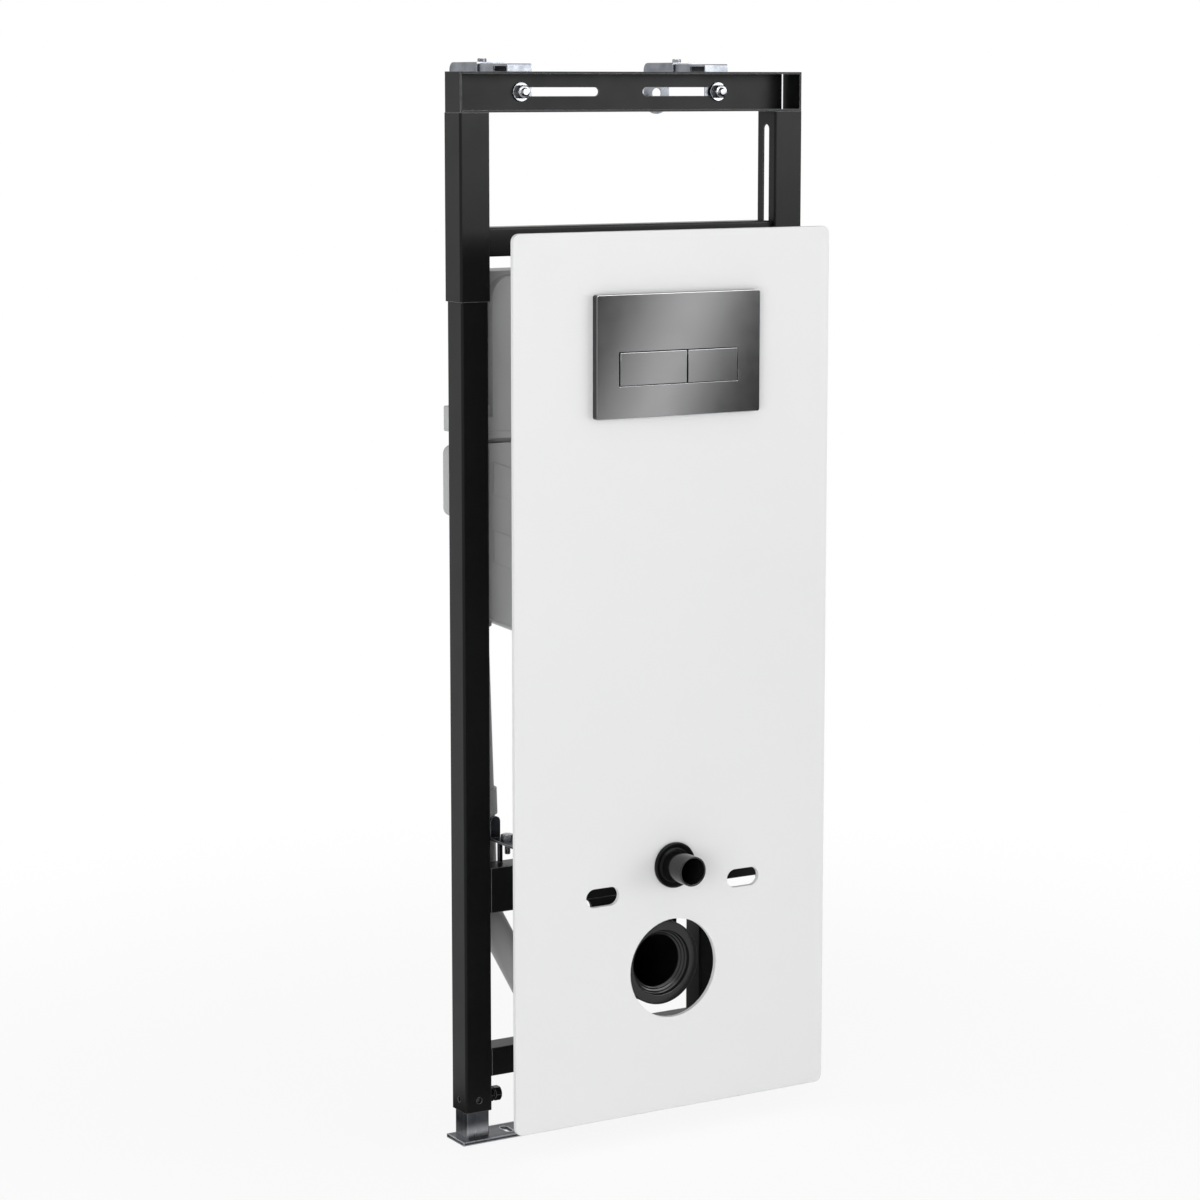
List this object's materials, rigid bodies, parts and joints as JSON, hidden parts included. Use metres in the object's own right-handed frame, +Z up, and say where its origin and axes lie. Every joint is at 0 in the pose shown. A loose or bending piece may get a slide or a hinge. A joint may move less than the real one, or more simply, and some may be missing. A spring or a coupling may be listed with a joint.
{
  "type": "wall hung toilet frame",
  "caption": "Open steel frame with adjustable legs, concealed cistern, wall brackets, white front panel and flush plate, for hanging a toilet bowl on a wall.",
  "frame": {"origin": "on the left foot plate's underside, where the left upright's axis meets the floor", "axes": "+Z up, +X to the right upright as seen from the front, +Y back to the wall"},
  "size_m": [0.5206, 0.327, 1.37],
  "materials": {
    "black_steel": "black powder coat, satin",
    "zinc": "bright zinc plated steel",
    "bolt_zinc": "zinc plated bolts and nuts",
    "white_panel": "white, satin",
    "graphite": "graphite metallic, satin gloss",
    "grey_plastic": "moulded, matt",
    "black_plastic": "moulded, glossy",
    "black_rubber": "moulded"
  },
  "bodies": {
    "feet": {"left_leg": "zinc", "right_leg": "zinc", "left_foot_plate": "zinc", "right_foot_plate": "zinc"},
    "frame": {"left_upright": "black_steel", "right_upright": "black_steel", "left_leg_bolt": "black_steel", "right_leg_bolt": "black_steel", "left_sleeve": "black_steel", "right_sleeve": "black_steel", "top_channel": "black_steel", "upper_rail": "black_steel", "mid_crossbar": "black_steel", "lower_crossbar": "black_steel", "left_post": "black_steel", "right_post": "black_steel", "left_bracket_strip": "zinc", "right_bracket_strip": "zinc", "left_strip_bolt": "bolt_zinc", "right_strip_bolt": "bolt_zinc", "cistern_tank": "grey_plastic", "cistern_cover": "grey_plastic", "service_neck": "black_plastic", "plate_frame": "black_plastic", "flush_plate": "graphite", "front_panel": "white_panel", "flush_pipe": "black_plastic", "flush_inlet": "black_plastic", "flush_seal": "black_rubber", "waste_bend": "black_plastic", "waste_socket": "black_plastic", "waste_seal": "black_rubber", "waste_holder": "black_steel", "side_drain": "grey_plastic", "left_panel_arm": "zinc", "right_panel_arm": "zinc", "left_arm_bolt": "bolt_zinc", "right_arm_bolt": "bolt_zinc"},
    "left_wall_arm": {"left_wall_bracket": "zinc", "left_clamp_bolt": "bolt_zinc"},
    "right_wall_arm": {"right_wall_bracket": "zinc", "right_clamp_bolt": "bolt_zinc"},
    "large_flush_button": {"large_button": "graphite"},
    "small_flush_button": {"small_button": "graphite"}
  },
  "joints": [
    {"name": "leg_height", "type": "slide", "parent": "feet", "child": "frame", "axis": [0, 0, 1], "range_m": [0, 0.2]},
    {"name": "left_wall_depth", "type": "slide", "parent": "frame", "child": "left_wall_arm", "axis": [0, 1, 0], "range_m": [-0.024, 0.008]},
    {"name": "right_wall_depth", "type": "slide", "parent": "frame", "child": "right_wall_arm", "axis": [0, 1, 0], "range_m": [-0.024, 0.008]},
    {"name": "large_button_press", "type": "slide", "parent": "frame", "child": "large_flush_button", "axis": [0, 1, 0], "range_m": [0, 0.005], "stiffness_N_per_m": 400},
    {"name": "small_button_press", "type": "slide", "parent": "frame", "child": "small_flush_button", "axis": [0, 1, 0], "range_m": [0, 0.005], "stiffness_N_per_m": 400}
  ]
}
